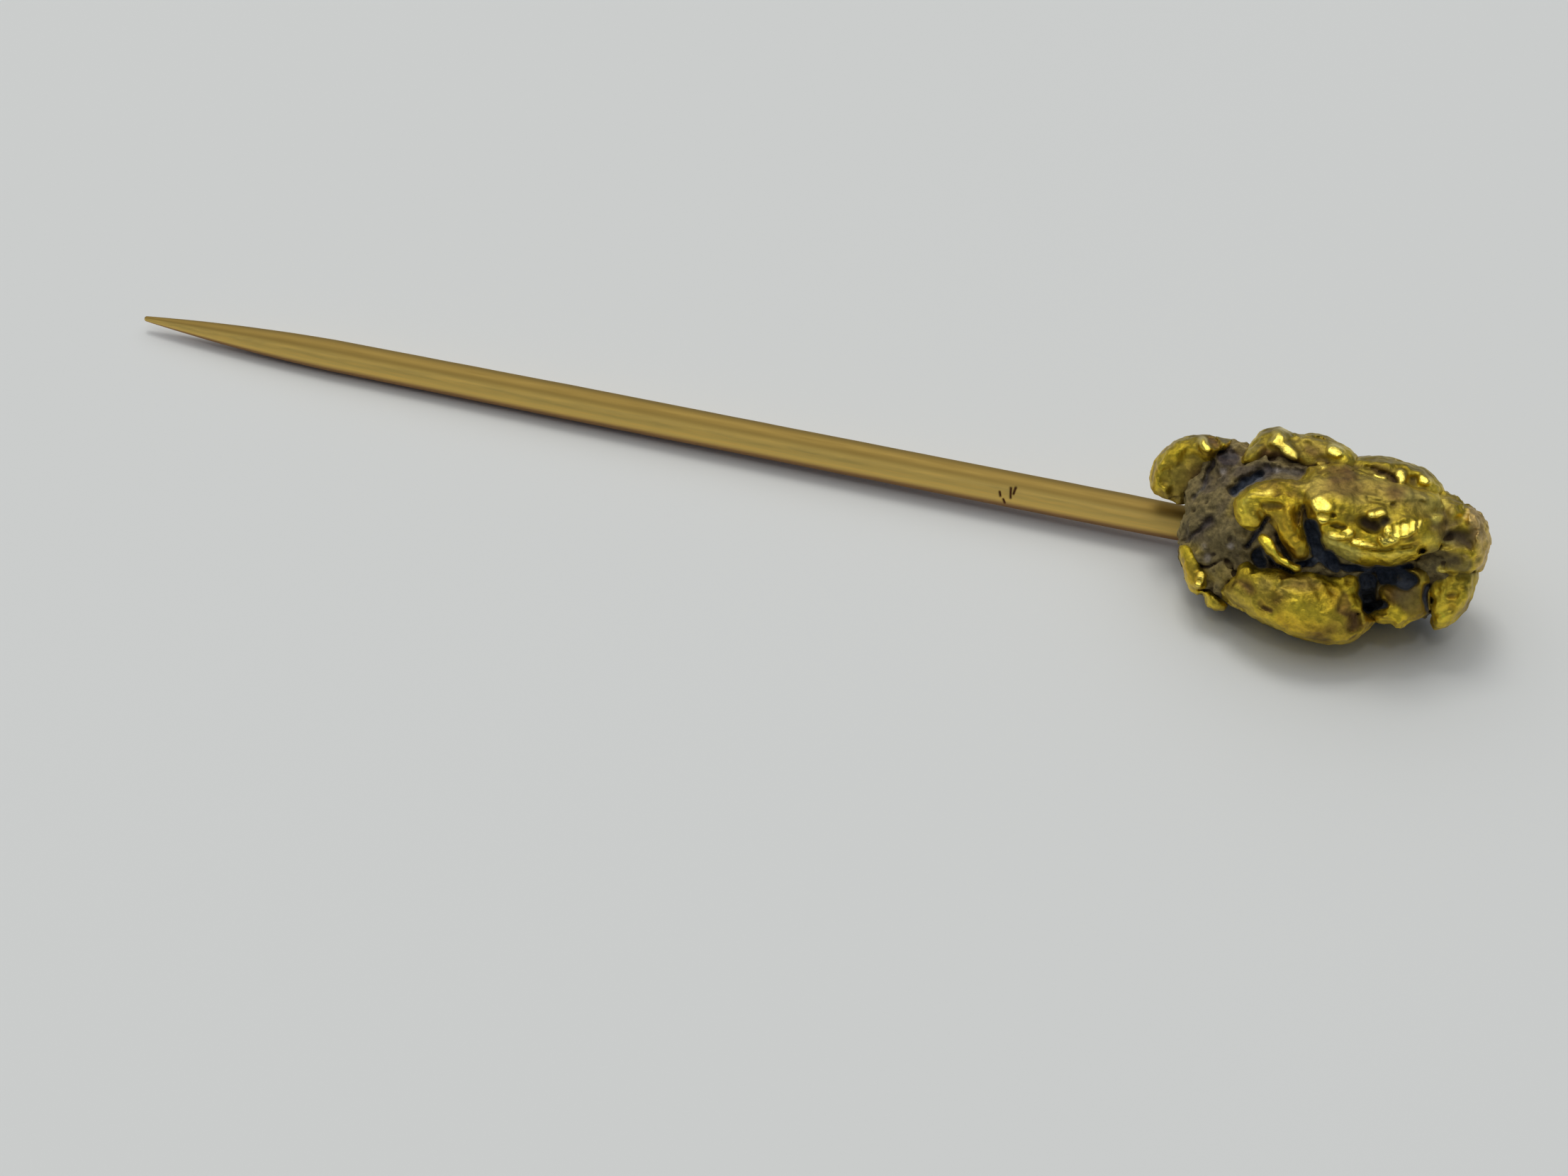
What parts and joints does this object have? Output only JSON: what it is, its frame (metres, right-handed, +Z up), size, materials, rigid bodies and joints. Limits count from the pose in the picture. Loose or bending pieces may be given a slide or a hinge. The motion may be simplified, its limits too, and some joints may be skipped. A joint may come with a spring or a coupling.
{
  "type": "stick pin",
  "caption": "Straight gold wire pin ground to a long point, with a small raw gold nugget on grey host rock as its head.",
  "frame": {"origin": "centre of the bounding box's footprint, on the surface that the pin lies on", "axes": "+X along the wire from its point to the nugget, +Y level across it, +Z up"},
  "size_m": [0.0488, 0.0066, 0.0055],
  "materials": {
    "wire_gold": "drawn and lightly worn karat gold wire",
    "nugget_gold": "raw native gold, dull satin with bright rubbed high spots",
    "host_rock": "rough grainy quartz and ironstone"
  },
  "bodies": {
    "root": {"pin_stem": "wire_gold", "solder_fillet": "wire_gold", "host_rock": "host_rock", "left_lobe": "nugget_gold", "ridge_knobs": "nugget_gold", "back_hump": "nugget_gold", "main_fold": "nugget_gold", "belly_lobe": "nugget_gold", "right_cap": "nugget_gold", "foot_lobe": "nugget_gold", "under_lumps": "nugget_gold", "curl_strip": "nugget_gold", "left_grains": "nugget_gold", "rear_fold": "nugget_gold"}
  },
  "joints": []
}
